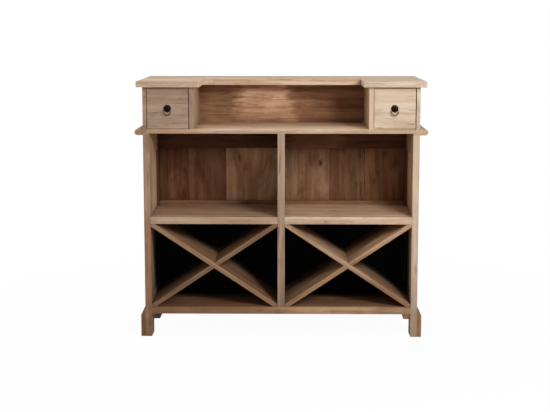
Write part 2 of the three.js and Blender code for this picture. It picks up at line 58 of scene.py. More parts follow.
# %% Node helpers
def add(tree, kind, values=None, **options):
    made = tree.nodes.new(kind)
    for key, value in options.items():
        setattr(made, key, value)
    for key, value in (values or {}).items():
        socket = made.inputs[key]
        if isinstance(value, bpy.types.NodeSocket):
            tree.links.new(value, socket)
        else:
            socket.default_value = value
    return made


def math_node(tree, operation, first, second=0.0, clamp=False):
    made = add(tree, "ShaderNodeMath", {0: first, 1: second}, operation=operation, use_clamp=clamp)
    return made.outputs[0]


def ease(tree, value, low, high, to_low=0.0, to_high=1.0):
    made = add(tree, "ShaderNodeMapRange", {
        "Value": value, "From Min": low, "From Max": high, "To Min": to_low, "To Max": to_high,
    }, interpolation_type="SMOOTHSTEP")
    return made.outputs["Result"]


def blend_colour(tree, factor, first, second, mode="MIX"):
    made = add(tree, "ShaderNodeMix", {0: factor, 6: first, 7: second}, data_type="RGBA", blend_type=mode)
    return made.outputs[2]


def stretched(tree, vector, scale):
    made = add(tree, "ShaderNodeVectorMath", {0: vector, 1: scale}, operation="MULTIPLY")
    return made.outputs[0]


def cloud(tree, vector, scale, detail=3.0, roughness=0.55):
    made = add(tree, "ShaderNodeTexNoise", {
        "Vector": stretched(tree, vector, scale), "Scale": 1.0, "Detail": detail, "Roughness": roughness,
    })
    return made.outputs[0]


def new_group(name, inputs, outputs):
    group = bpy.data.node_groups.new(name, "ShaderNodeTree")
    for label, kind, value in inputs:
        socket = group.interface.new_socket(name=label, in_out="INPUT", socket_type="NodeSocket" + kind)
        if value is not None:
            socket.default_value = value
    for label, kind in outputs:
        group.interface.new_socket(name=label, in_out="OUTPUT", socket_type="NodeSocket" + kind)
    return group, group.nodes.new("NodeGroupInput").outputs, group.nodes.new("NodeGroupOutput").inputs


def tint(code):
    channels = [int(code[i:i + 2], 16) / 255 for i in (0, 2, 4)]
    linear = [c / 12.92 if c <= 0.04045 else ((c + 0.055) / 1.055) ** 2.4 for c in channels]
    return (*linear, 1.0)


print("helpers ready")

# %% [markdown]
# ## The grain of an old board
# Reclaimed boards are brushed and left matt. Seen close, three things carry the look: long streaks of
# darker late wood, a few knots that the streaks flow round, and short drying cracks. Noise that is
# stretched along the board gives the streaks. Cells of a Voronoi texture pick out where knots sit, and
# their distance bends the streaks before they are drawn. The input is a position in the board's own
# frame: X along the grain, Y and Z across it, in metres.

# %% Shader group: grain
def make_grain():
    tree, given, result = new_group("old board grain", [
        ("Board", "Vector", None),
        ("Pale", "Color", tint("d9b998")),
        ("Body", "Color", tint("c19a76")),
        ("Deep", "Color", tint("94694a")),
        ("Streaks", "Float", 1.0),
        ("Knots", "Float", 0.5),
        ("Cracks", "Float", 0.5),
        ("Mottle", "Float", 0.3),
    ], [("Colour", "Color"), ("Roughness", "Float"), ("Height", "Float")])
    board = given["Board"]

    cells = add(tree, "ShaderNodeTexVoronoi", {
        "Vector": stretched(tree, board, (2.1, 6.5, 6.5)), "Scale": 1.0, "Randomness": 1.0,
    })
    pick = add(tree, "ShaderNodeSeparateColor", {0: cells.outputs["Color"]}).outputs[0]
    chosen = ease(tree, math_node(tree, "SUBTRACT", given["Knots"], pick), 0.0, 0.04)
    heart = math_node(tree, "MULTIPLY", ease(tree, cells.outputs["Distance"], 0.13, 0.05), chosen)
    pull = math_node(tree, "MULTIPLY", ease(tree, cells.outputs["Distance"], 0.5, 0.08), chosen)

    drift = cloud(tree, board, (0.9, 3.0, 3.0), 2.0)
    bent = math_node(tree, "MULTIPLY", pull, 0.05)
    sway = math_node(tree, "ADD", math_node(tree, "MULTIPLY", drift, 0.09), bent)
    shove = add(tree, "ShaderNodeCombineXYZ", {1: sway, 2: sway}).outputs[0]
    flowing = add(tree, "ShaderNodeVectorMath", {0: board, 1: shove}, operation="ADD").outputs[0]

    broad = cloud(tree, flowing, (0.7, 9.0, 9.0), 3.0)
    streak = cloud(tree, flowing, (1.6, 46.0, 46.0), 5.0, 0.62)
    fine = cloud(tree, flowing, (5.0, 210.0, 210.0), 3.0, 0.6)
    patch = cloud(tree, board, (2.4, 4.2, 4.2), 4.0, 0.6)

    late = ease(tree, streak, 0.62, 0.38)
    late = math_node(tree, "MULTIPLY", late, given["Streaks"], clamp=True)
    colour = blend_colour(tree, ease(tree, broad, 0.36, 0.66), given["Body"], given["Pale"])
    colour = blend_colour(tree, math_node(tree, "MULTIPLY", late, 0.62), colour, given["Deep"])
    bleached = math_node(tree, "MULTIPLY", ease(tree, patch, 0.5, 0.74), 0.34)
    colour = blend_colour(tree, bleached, colour, given["Pale"])
    soiled_and_shaded = math_node(tree, "MULTIPLY", ease(tree, patch, 0.46, 0.25), 0.38)
    colour = blend_colour(tree, soiled_and_shaded, colour, given["Deep"])
    mottle = cloud(tree, board, (9.0, 17.0, 17.0), 4.0, 0.62)
    light_spot = math_node(tree, "MULTIPLY", ease(tree, mottle, 0.52, 0.7), given["Mottle"])
    colour = blend_colour(tree, light_spot, colour, given["Pale"])
    dark_spot = math_node(tree, "MULTIPLY", ease(tree, mottle, 0.48, 0.28), given["Mottle"])
    colour = blend_colour(tree, dark_spot, colour, given["Deep"])
    dash = ease(tree, cloud(tree, flowing, (7.0, 75.0, 75.0), 2.0), 0.63, 0.71)
    colour = blend_colour(tree, math_node(tree, "MULTIPLY", dash, 0.38), colour, tint("4a301e"))
    pores = ease(tree, fine, 0.44, 0.3)
    colour = blend_colour(tree, math_node(tree, "MULTIPLY", pores, 0.4), colour, given["Deep"])

    halo = math_node(tree, "MULTIPLY", ease(tree, cells.outputs["Distance"], 0.3, 0.1), chosen)
    colour = blend_colour(tree, math_node(tree, "MULTIPLY", halo, 0.45), colour, given["Deep"])
    colour = blend_colour(tree, math_node(tree, "MULTIPLY", heart, 0.85), colour, tint("3a2416"))

    seam = cloud(tree, flowing, (1.3, 30.0, 30.0), 2.0)
    from_seam = math_node(tree, "ABSOLUTE", math_node(tree, "SUBTRACT", seam, 0.5))
    line = ease(tree, from_seam, 0.012, 0.002)
    gate = ease(tree, cloud(tree, board, (3.2, 5.0, 5.0), 1.0), 0.56, 0.64)
    crack = math_node(tree, "MULTIPLY", math_node(tree, "MULTIPLY", line, gate), given["Cracks"])
    colour = blend_colour(tree, math_node(tree, "MULTIPLY", crack, 0.8), colour, tint("2e1c11"))
    tree.links.new(colour, result["Colour"])

    rough = math_node(tree, "ADD", math_node(tree, "MULTIPLY", late, 0.12), 0.6)
    rough = math_node(tree, "ADD", rough, math_node(tree, "MULTIPLY", soiled_and_shaded, 0.25))
    tree.links.new(rough, result["Roughness"])

    raised = math_node(tree, "MULTIPLY", late, 0.35)
    height = math_node(tree, "SUBTRACT", raised, math_node(tree, "MULTIPLY", pores, 0.5))
    height = math_node(tree, "SUBTRACT", height, math_node(tree, "MULTIPLY", crack, 2.0))
    height = math_node(tree, "SUBTRACT", height, math_node(tree, "MULTIPLY", heart, 0.6))
    height = math_node(tree, "SUBTRACT", height, math_node(tree, "MULTIPLY", dash, 0.8))
    tree.links.new(height, result["Height"])
    return tree


grain = make_grain()
print("grain group:", len(grain.nodes), "nodes")

# %% [markdown]
# ## Rubbed edges, dirt and painted shade
# Hands and crates polish the arrises of a counter, so edges go pale. The Bevel node's normal leaves the
# flat normal only near an edge, which gives the rub. Ambient occlusion is high in the open and low in a
# corner, and with a ramp towards the floor it gives a second mask: painted shade on the wood, darker in
# corners and low down, and a brown patina in the hollows of the iron. All of it is broken up with noise.

# %% Shader group: rub, dirt and shade
def make_rub():
    tree, given, result = new_group("rub, dirt and shade", [
        ("Position", "Vector", None),
        ("Edge width", "Float", 0.004),
        ("Reach", "Float", 0.07),
    ], [("Rub", "Float"), ("Dirt and shade", "Float")])
    rounded = add(tree, "ShaderNodeBevel", {"Radius": given["Edge width"]}, samples=4).outputs[0]
    flat = add(tree, "ShaderNodeNewGeometry").outputs["True Normal"]
    turned_by = add(tree, "ShaderNodeVectorMath", {0: rounded, 1: flat}, operation="DOT_PRODUCT")
    facing = turned_by.outputs["Value"]
    broken = cloud(tree, given["Position"], (38.0, 38.0, 38.0), 4.0, 0.65)
    rub = math_node(tree, "MULTIPLY", ease(tree, facing, 0.985, 0.8), ease(tree, broken, 0.38, 0.62))
    tree.links.new(rub, result["Rub"])
    # Second mask, from ambient occlusion and a ramp towards the floor: the wood paints shade with it, the
    # iron a brown patina
    corner = add(tree, "ShaderNodeAmbientOcclusion", {"Distance": given["Reach"]}, samples=6)
    in_corner = ease(tree, corner.outputs["AO"], 0.85, 0.3)
    blotchy = ease(tree, cloud(tree, given["Position"], (14.0, 14.0, 14.0), 4.0, 0.6), 0.3, 0.7, 0.55, 1.0)
    height = add(tree, "ShaderNodeSeparateXYZ", {0: given["Position"]}).outputs[2]
    near_floor = ease(tree, height, 0.45, 0.0, 0.0, 0.85)
    corners_and_low = math_node(tree, "MAXIMUM", in_corner, near_floor)
    dirt = math_node(tree, "MULTIPLY", corners_and_low, blotchy)
    tree.links.new(dirt, result["Dirt and shade"])
    return tree


rub_dirt_and_shade = make_rub()
print("rub group:", len(rub_dirt_and_shade.nodes), "nodes")

# %% [markdown]
# ## Painted shade inside
# The bays and the bottle racks lie deep in shade, and that shade is painted into the wood's colour: the
# bays go browner towards the back, and the racks almost black. Both masks grow with the depth
# behind the front edge. They live between the bottom board and the deck, on faces that look into the
# counter, so the customer's side and the outer sides keep the common colour.

# %% Shader group: painted shade inside
RACK_LOW, RACK_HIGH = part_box("bottom_board")[1][2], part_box("shelf_left")[0][2]
BAY_LOW, BAY_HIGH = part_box("shelf_left")[1][2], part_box("deck_board")[0][2]
FRONT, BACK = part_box("bottom_board")[0][1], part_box("back_rail_bottom")[1][1]
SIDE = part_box("side_panel_right")[0][0]


def between(tree, value, low, high, blur=0.002):
    above = ease(tree, value, low - 2 * blur, low - blur)
    below = ease(tree, value, high + 2 * blur, high + blur)
    return math_node(tree, "MULTIPLY", above, below)


def make_inside():
    tree, given, result = new_group("inside", [
        ("Position", "Vector", None),
    ], [("Rack", "Float"), ("Bay", "Float")])
    parts = add(tree, "ShaderNodeSeparateXYZ", {0: given["Position"]}).outputs
    ragged = math_node(tree, "MULTIPLY", cloud(tree, given["Position"], (7.0, 7.0, 7.0), 3.0), 0.06)
    depth = math_node(tree, "SUBTRACT", math_node(tree, "SUBTRACT", parts[1], FRONT), ragged)
    in_depth = between(tree, parts[1], FRONT, BACK, 0.001)
    in_width = between(tree, parts[0], -SIDE, SIDE)
    within = math_node(tree, "MULTIPLY", in_depth, in_width)
    in_rack = between(tree, parts[2], RACK_LOW, RACK_HIGH)
    in_bay = between(tree, parts[2], BAY_LOW, BAY_HIGH)
    # Masks for painted shade: the racks, which the wood paints nearly black, and the bays, which it paints
    # browner
    rack = math_node(tree, "MULTIPLY", ease(tree, depth, 0.04, 0.25), in_rack)
    bay = math_node(tree, "MULTIPLY", ease(tree, depth, 0.0, 0.3), in_bay)
    tree.links.new(math_node(tree, "MULTIPLY", rack, within), result["Rack"])
    tree.links.new(math_node(tree, "MULTIPLY", bay, within), result["Bay"])
    return tree


inside = make_inside()
print("racks between", round(RACK_LOW, 4), "and", round(RACK_HIGH, 4), "bays to", round(BAY_HIGH, 4))

# %% [markdown]
# ## One wood for each board
# No two boards of a reclaimed piece match. Each board gets its own material: the same groups, with its own
# tones, its own stretch of the grain and the direction in which it was sawn.

# %% Wood material
TONES = {
    "honey": ("dabfa3", "c6a283", "9a7153"),
    "straw": ("e3cdb6", "d3b69b", "a98767"),
    "dun": ("cfb298", "b3927a", "866450"),
    "umber": ("c69c77", "a97d5a", "76502f"),
    "russet": ("d0ad8c", "b78d69", "875f40"),
}
# Pale and brown patches multiply the wood's colour by these: real pale and stained stretches, and painted
# light and painted shade
PALER_AND_LIT, STAINED_AND_SHADED = (2.0, 2.3, 2.6, 1.0), (0.8, 0.6, 0.42, 1.0)
# The colours of painted shade: in corners and low down, at the backs of the bays, and in the bottle racks
CORNER_SHADE_COLOUR, BAY_SHADE_COLOUR, RACK_SHADE_COLOUR = tint("5a3d28"), tint("a48d7e"), tint("060403")
RACK_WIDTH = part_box("leg_front_right")[0][0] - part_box("centre_divider")[1][0]
RACK_ANGLE = math.atan2(RACK_HIGH - RACK_LOW, RACK_WIDTH)
GRAIN_TURN = {
    "x": (0.0, 0.0, 0.0),
    "y": (0.0, 0.0, -math.pi / 2),
    "z": (0.0, math.pi / 2, 0.0),
    "rising": (0.0, RACK_ANGLE, 0.0),
    "falling": (0.0, -RACK_ANGLE, 0.0),
}
# Scales of the noise that frays a patch: fine across the grain, coarse along it
RAGGED = {"x": (11.0, 30.0, 48.0), "z": (48.0, 30.0, 11.0)}


def patch(tree, position, centre, size, along):
    """One inside a block round the centre, with a ragged edge; size holds the half lengths."""
    offset = add(tree, "ShaderNodeVectorMath", {0: position, 1: centre}, operation="SUBTRACT").outputs[0]
    scaled = add(tree, "ShaderNodeVectorMath", {0: offset, 1: size}, operation="DIVIDE").outputs[0]
    away = add(tree, "ShaderNodeVectorMath", {0: scaled}, operation="ABSOLUTE").outputs[0]
    parts = add(tree, "ShaderNodeSeparateXYZ", {0: away}).outputs
    reach = math_node(tree, "MAXIMUM", math_node(tree, "MAXIMUM", parts[0], parts[1]), parts[2])
    noise = math_node(tree, "SUBTRACT", cloud(tree, position, RAGGED[along], 4.0, 0.6), 0.5)
    reach = math_node(tree, "ADD", reach, noise)
    return ease(tree, reach, 1.05, 0.7)


def draw_knot(tree, colour, position, centre, size):
    """A knot with a ragged dark heart and a brown halo; size holds the half lengths of the heart."""
    offset = add(tree, "ShaderNodeVectorMath", {0: position, 1: centre}, operation="SUBTRACT").outputs[0]
    scaled = add(tree, "ShaderNodeVectorMath", {0: offset, 1: size}, operation="DIVIDE").outputs[0]
    away = add(tree, "ShaderNodeVectorMath", {0: scaled}, operation="LENGTH").outputs["Value"]
    wander = math_node(tree, "SUBTRACT", cloud(tree, position, (150.0, 150.0, 90.0), 3.0, 0.6), 0.5)
    reach = math_node(tree, "ADD", away, math_node(tree, "MULTIPLY", wander, 1.5))
    halo = ease(tree, reach, 2.0, 0.8, 0.0, 0.45)
    heart = ease(tree, reach, 1.05, 0.5, 0.0, 0.8)
    colour = blend_colour(tree, halo, colour, tint("5a3a24"))
    return blend_colour(tree, heart, colour, tint("2c1a10"))


def wood(
    name, tone, along, seed,
    knots=0.14, streaks=0.8, cracks=0.5, mottle=0.32,
    level=1.0, shade=0.0, smoke=1.0, fade=1.0, dirt=0.55, gloss=0.3,
    bleach=(), stain=(), marks=(),
):
    """One board's wood. Level scales the tones; shade, smoke and fade set the painted shade inside,
    and dirt the painted shade in corners and low down.

    bleach and stain hold patches, some the boards' own and some painted light and shade,
    each a centre, half lengths and a strength. Marks hold knots.
    """
    material = bpy.data.materials.new(name)
    material.use_nodes = True
    tree = material.node_tree
    tree.nodes.clear()
    place = add(tree, "ShaderNodeTexCoord").outputs["Object"]
    offset = (seed * 1.37 % 7.0, seed * 2.71 % 5.0, seed * 0.93 % 3.0)
    board = add(tree, "ShaderNodeMapping", {
        "Vector": place, "Location": offset, "Rotation": GRAIN_TURN[along],
    })
    pale, body, deep = (tuple(c * level for c in tint(code)[:3]) + (1.0,) for code in TONES[tone])
    figure = add(tree, "ShaderNodeGroup", node_tree=grain)
    tree.links.new(board.outputs[0], figure.inputs["Board"])
    settings = {
        "Pale": pale, "Body": body, "Deep": deep,
        "Streaks": streaks, "Knots": knots, "Cracks": cracks, "Mottle": mottle,
    }
    for label, value in settings.items():
        figure.inputs[label].default_value = value
    wear_dirt_and_shade = add(tree, "ShaderNodeGroup", node_tree=rub_dirt_and_shade)
    tree.links.new(place, wear_dirt_and_shade.inputs["Position"])
    wear_dirt_and_shade.inputs["Edge width"].default_value = 0.004
    wear_dirt_and_shade.inputs["Reach"].default_value = 0.07
    colour = figure.outputs["Colour"]
    # Pale and brown patches: some are the boards' own, some are painted light and painted shade
    for centre, size, strength in bleach:
        pale_and_lit_stretch = math_node(tree, "MULTIPLY", patch(tree, place, centre, size, along), strength)
        colour = blend_colour(tree, pale_and_lit_stretch, colour, PALER_AND_LIT, "MULTIPLY")
    for centre, size, strength in stain:
        stained_and_shaded_stretch = math_node(tree, "MULTIPLY", patch(tree, place, centre, size, along), strength)
        colour = blend_colour(tree, stained_and_shaded_stretch, colour, STAINED_AND_SHADED, "MULTIPLY")
    for centre, size in marks:
        colour = draw_knot(tree, colour, place, centre, size)
    rubbed = math_node(tree, "MULTIPLY", wear_dirt_and_shade.outputs["Rub"], 0.5)
    colour = blend_colour(tree, rubbed, colour, pale)
    # Painted shade: the wood goes darker in corners and towards the floor
    soiled_and_shaded = math_node(tree, "MULTIPLY", wear_dirt_and_shade.outputs["Dirt and shade"], dirt)
    colour = blend_colour(tree, soiled_and_shaded, colour, CORNER_SHADE_COLOUR)
    # Painted shade inside: browner towards the back of the bays, nearly black in the bottle racks
    if shade > 0:
        depth = add(tree, "ShaderNodeGroup", node_tree=inside)
        tree.links.new(place, depth.inputs["Position"])
        bay_shaded = math_node(tree, "MULTIPLY", depth.outputs["Bay"], shade)
        colour = blend_colour(tree, bay_shaded, colour, BAY_SHADE_COLOUR, "MULTIPLY")
        rack_shaded = math_node(tree, "POWER", depth.outputs["Rack"], fade)
        rack_shaded = math_node(tree, "MULTIPLY", rack_shaded, smoke)
        colour = blend_colour(tree, rack_shaded, colour, RACK_SHADE_COLOUR)
    bump = add(tree, "ShaderNodeBump", {
        "Strength": 0.35, "Distance": 0.0012, "Height": figure.outputs["Height"],
    })
    surface = add(tree, "ShaderNodeBsdfPrincipled", {
        "Base Color": colour, "Roughness": figure.outputs["Roughness"], "Normal": bump.outputs[0],
    })
    surface.inputs["Specular IOR Level"].default_value = gloss
    add(tree, "ShaderNodeOutputMaterial", {"Surface": surface.outputs[0]})
    return material


print("tones:", ", ".join(TONES))

# %% [markdown]
# ## Pale and brown patches, painted light and painted shade
# Old boards are bleached where light reached them and stained where hands, feet and water did: a pale
# stretch in the niche, paler parts of some planks, a brown stretch of the deck and one knot in the right
# bay.
# The other patches are painted light and painted shade, each named below. The places follow the photograph.

# %% Patches
# Faces that carry a patch
PLANK_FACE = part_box("back_plank_1")[0][1]
RAIL_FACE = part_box("back_rail_top")[0][1]
SHELF_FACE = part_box("shelf_right")[1][2]
DECK_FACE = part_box("deck_board")[1][2]
NICHE_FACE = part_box("niche_back")[0][1]


def plank_patch(x, z, half_width, half_height, strength=0.28):
    return ((x, PLANK_FACE, z), (half_width, 0.012, half_height), strength)


# The knot in the right bay: its centre and half lengths, in metres
KNOT_IN_BAY = ((0.174, 0.145, 0.702), (0.008, 0.05, 0.013))
# Patches: the centre, the half lengths and the strength of each
PALE_IN_NICHE = [
    ((-0.075, NICHE_FACE, 0.965), (0.14, 0.014, 0.085), 0.72),
    ((-0.07, NICHE_FACE, 1.02), (0.11, 0.014, 0.035), 0.55),
]
PALE_PLANK_1 = [plank_patch(-0.475, 0.6, 0.04, 0.07)]
# Painted light: the right part of plank 3, over the divider's shadow
PAINTED_LIGHT_PLANK_3 = [plank_patch(-0.1, 0.68, 0.09, 0.22, 0.45)]
PALE_PLANK_4 = [plank_patch(0.165, 0.61, 0.036, 0.07, 0.12)]
PALE_PLANK_6 = [plank_patch(0.5, 0.615, 0.03, 0.085)]
# Painted light: the top face of the right shelf, which lies in shade under the deck
PAINTED_LIGHT_ON_SHELF = [((0.28, 0.0, SHELF_FACE), (0.36, 0.3, 0.006), 0.32)]
# Painted light: the front of the bottom board on the right, where the key light falls
PAINTED_LIGHT_ON_BOTTOM = [((0.32, FRONT, 0.1), (0.4, 0.02, 0.1), 0.6)]
# Painted light: the deck's top face, which the top shades from the overhead lamp
PAINTED_LIGHT_ON_DECK = [((0.0, 0.0, DECK_FACE), (0.5, 0.3, 0.006), 0.2)]
# Painted light: the left part of the top back rail in the right bay
PAINTED_LIGHT_ON_RAIL = [((0.13, RAIL_FACE, 0.8), (0.16, 0.012, 0.12), 1.0)]
# Painted light: the inner faces of the side panels, which lie in shade
PAINTED_LIGHT_ON_SIDES = [((x, 0.0, 0.68), (0.006, 0.24, 0.24), 0.5) for x in (-SIDE, SIDE)]
# Painted shadow: the right part of the niche back, in the shadow of the right drawer's box
PAINTED_SHADOW_IN_NICHE = [((0.17, NICHE_FACE, 0.955), (0.11, 0.014, 0.08), 0.5)]
# Painted shade: the front feet, darker towards the floor
PAINTED_SHADE_ON_FEET = [((0.0, -0.2, 0.05), (1.0, 0.2, 0.2), 0.5)]
BROWN_WAIST = [((-0.5, FRONT, DECK_FACE), (0.2, 0.12, 0.06), 0.5)]
# Painted shade: the lower part of the left front leg
PAINTED_SHADE_ON_LEG = [((-0.55, -0.2, 0.2), (0.12, 0.2, 0.32), 0.8)]
print("planks face the bays at", round(PLANK_FACE, 4), "and the niche back faces at", round(NICHE_FACE, 4))

# %% [markdown]
# ## Which board is which
# The table below follows the photograph: pale drawer fronts and top on the right, browner boards on the
# left, dark planks behind. The split between left and right is partly the boards' own tones and partly
# painted light, as the right side is lit more, and the planks are darkened further by painted shade.
# Grain runs along the length of every board.

# %% Dress the boards
def dress(node, material):
    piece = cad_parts[node]
    piece.data.materials.clear()
    piece.data.materials.append(material)


# What boards of one kind share
BACK_RAIL = dict(gloss=0.12)
PLANK = dict(gloss=0.12, mottle=0.75)
TOP = dict(gloss=0.4)
FALLING_RACK = dict(shade=1.0, fade=4.0)
RISING_RACK = dict(shade=1.0, fade=2.5)
NICHE_BACK = dict(knots=0.3, streaks=1.0, mottle=0.55, bleach=PALE_IN_NICHE, stain=PAINTED_SHADOW_IN_NICHE)

# Each board with its tone, the direction of its grain and what sets it apart
BOARDS = {
    "leg_front_left": ("dun", "z", dict(level=1.08, shade=1.0, stain=PAINTED_SHADE_ON_LEG)),
    "leg_front_right": ("straw", "z", dict(shade=1.0)),
    "leg_rear_left": ("umber", "z", dict(shade=1.0)),
    "leg_rear_right": ("umber", "z", dict(shade=1.0)),
    "foot_front_left": ("umber", "z", dict(level=0.82, stain=PAINTED_SHADE_ON_FEET)),
    "foot_front_right": ("russet", "z", dict(level=1.22, stain=PAINTED_SHADE_ON_FEET)),
    "foot_rear_left": ("umber", "z", {}),
    "foot_rear_right": ("honey", "z", {}),
    "side_rail_top_left": ("honey", "y", {}),
    "side_rail_top_right": ("dun", "y", {}),
    "side_rail_bottom_left": ("dun", "y", dict(shade=1.0)),
    "side_rail_bottom_right": ("honey", "y", dict(shade=1.0)),
    "side_panel_left": ("russet", "z", dict(level=1.05, knots=0.2, shade=0.2, bleach=PAINTED_LIGHT_ON_SIDES)),
    "side_panel_right": ("russet", "z", dict(level=1.2, knots=0.2, shade=0.1, bleach=PAINTED_LIGHT_ON_SIDES)),
    "back_rail_top": ("umber", "x", dict(BACK_RAIL, level=0.7, shade=1.0, bleach=PAINTED_LIGHT_ON_RAIL)),
    "back_rail_middle": ("umber", "x", dict(BACK_RAIL, level=1.1, shade=0.6, dirt=0.25)),
    "back_rail_bottom": ("umber", "x", dict(BACK_RAIL, shade=1.0)),
    "back_plank_1": ("umber", "z", dict(PLANK, level=0.88, shade=0.9, bleach=PALE_PLANK_1)),
    "back_plank_2": ("russet", "z", dict(PLANK, level=0.86, knots=0.3, shade=0.95)),
    # Plank 3's high level also paints light over the divider's shadow
    "back_plank_3": ("russet", "z", dict(PLANK, level=1.3, knots=0.35, shade=0.4, bleach=PAINTED_LIGHT_PLANK_3)),
    "back_plank_4": (
        "russet", "z",
        dict(PLANK, level=0.95, knots=0.4, shade=0.65, marks=[KNOT_IN_BAY], bleach=PALE_PLANK_4),
    ),
    "back_plank_5": ("russet", "z", dict(PLANK, level=0.8, knots=0.3, shade=0.9)),
    "back_plank_6": ("umber", "z", dict(PLANK, level=1.05, shade=0.85, bleach=PALE_PLANK_6)),
    "bottom_board": ("umber", "x", dict(level=0.95, shade=1.0, fade=3.0, bleach=PAINTED_LIGHT_ON_BOTTOM)),
    "centre_divider": ("dun", "z", dict(level=0.85, shade=0.5)),
    "shelf_left": ("honey", "x", dict(cracks=0.8, shade=0.25)),
    "shelf_right": ("honey", "x", dict(level=1.06, cracks=0.8, bleach=PAINTED_LIGHT_ON_SHELF)),
    "rack_left_rising": ("umber", "rising", dict(RISING_RACK, level=0.74, smoke=0.65)),
    "rack_left_falling": ("umber", "falling", dict(FALLING_RACK, level=0.78, smoke=0.8)),
    "rack_right_rising": ("russet", "rising", dict(RISING_RACK, level=1.02, smoke=0.6)),
    "rack_right_falling": ("russet", "falling", dict(FALLING_RACK, level=0.9, smoke=0.92)),
    "waist_moulding_left": ("russet", "y", dict(level=0.85)),
    "waist_moulding_right": ("honey", "y", {}),
    "waist_moulding_rear": ("honey", "x", {}),
    "deck_board": ("honey", "x", dict(level=1.1, cracks=0.7, bleach=PAINTED_LIGHT_ON_DECK, stain=BROWN_WAIST)),
    "upper_side_left": ("dun", "y", {}),
    "upper_side_right": ("straw", "y", {}),
    "niche_wall_left": ("dun", "z", dict(dirt=0.4)),
    # The right niche wall's high level paints light on a wall that lies in shade
    "niche_wall_right": ("straw", "z", dict(level=1.2, dirt=0.2)),
    "niche_back": ("umber", "x", dict(NICHE_BACK, level=0.88)),
    # The left arm's higher level paints light where the key light reaches it less
    "top_arm_left": ("straw", "x", dict(TOP, level=1.15)),
    "top_arm_right": ("straw", "x", dict(TOP, level=0.97)),
    "top_middle": ("honey", "x", dict(TOP, level=1.25)),
    "top_rear": ("honey", "x", dict(TOP, level=0.92)),
    "drawer_left_front": ("dun", "x", dict(knots=0.1, dirt=0.2)),
    "drawer_right_front": ("straw", "x", dict(knots=0.1, dirt=0.2)),
}
for side in ("left", "right"):
    for part, along in (("side_left", "y"), ("side_right", "y"), ("back", "x"), ("bottom", "x")):
        BOARDS[f"drawer_{side}_{part}"] = ("straw", along, dict(knots=0.08, cracks=0.2))

for number, (node, (tone, along, extra)) in enumerate(sorted(BOARDS.items())):
    dress(node, wood(node + "_wood", tone, along, number + 1, **extra))
print("dressed", len(BOARDS), "boards")

# %% [markdown]
# ## Softened edges
# A sawn solid has knife edges, which look wrong and catch no light. A Weld modifier closes the imported
# mesh and a small Bevel eases every arris, with no change to the board's size.

# %% Ease the arrises
EASED, EASED_TOP, EASED_FINE = 0.0012, 0.0022, 0.0006


def ease_edges(node, width):
    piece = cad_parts[node]
    weld = piece.modifiers.new("close the mesh", "WELD")
    weld.merge_threshold = 0.00002
    bevel = piece.modifiers.new("eased arris", "BEVEL")
    bevel.width = width
    bevel.segments = 2
    bevel.limit_method = "ANGLE"
    bevel.angle_limit = math.radians(35)
    bevel.use_clamp_overlap = True


for node in BOARDS:
    width = EASED
    if node.startswith("top_"):
        width = EASED_TOP
    if node.startswith(("drawer_", "upper_side_", "niche_wall_")):
        width = EASED_FINE
    ease_edges(node, width)
print("eased", len(BOARDS), "boards")

# %% [markdown]
# ## Thin lines round the drawers
# A drawer needs play, but a wide gap shows as a black line, and in the photograph the lines are thin and
# brown, with a darker one on the right of each drawer. So four strips sit behind the edge of each front and
# leave a narrow slit. They ride with the drawer.

# %% Close the gaps
SLIT, RIGHT_SLIT, SET_BACK, STRIP = 0.0012, 0.0032, 0.0025, 0.004


def add_block(mesh, low, high):
    size = [b - a for a, b in zip(low, high)]
    middle = [(a + b) / 2 for a, b in zip(low, high)]
    matrix = Matrix.Translation(middle) @ Matrix.Diagonal((*size, 1.0))
    bmesh.ops.create_cube(mesh, size=1.0, matrix=matrix)


def close_gap(side, left_board, right_board):
    low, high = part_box(f"drawer_{side}_front")
    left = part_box(left_board)[1][0] + SLIT
    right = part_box(right_board)[0][0] - RIGHT_SLIT
    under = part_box("deck_board")[1][2] + SLIT
    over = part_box(f"top_arm_{side}")[0][2] - SLIT
    near, far = low[1] + SET_BACK, low[1] + SET_BACK + STRIP
    mesh = bmesh.new()
    add_block(mesh, (left, near, under), (low[0], far, over))
    add_block(mesh, (high[0], near, under), (right, far, over))
    add_block(mesh, (low[0], near, under), (high[0], far, low[2]))
    add_block(mesh, (low[0], near, high[2]), (high[0], far, over))
    data = bpy.data.meshes.new(f"drawer_{side}_strips")
    mesh.to_mesh(data)
    mesh.free()
    data.materials.append(bpy.data.materials[f"drawer_{side}_front_wood"])
    piece = bpy.data.objects.new(f"drawer_{side}_strips", data)
    scene.collection.objects.link(piece)
    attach(piece, f"drawer_{side}_box")
    return left, right, under, over


for side, left_board, right_board in (
    ("left", "upper_side_left", "niche_wall_left"),
    ("right", "niche_wall_right", "upper_side_right"),
):
    print("strips", side, [round(v, 4) for v in close_gap(side, left_board, right_board)])

# %% [markdown]
# ## Black iron pulls
# Each drawer has a domed rosette with an eye through its middle and a loose ring in the eye. The iron is
# forged and blackened: nearly black, lightly hammered, with a paler edge where fingers rub it. The black
# coat hides the metal, so it is shaded as a dull dark skin and not as bare metal.

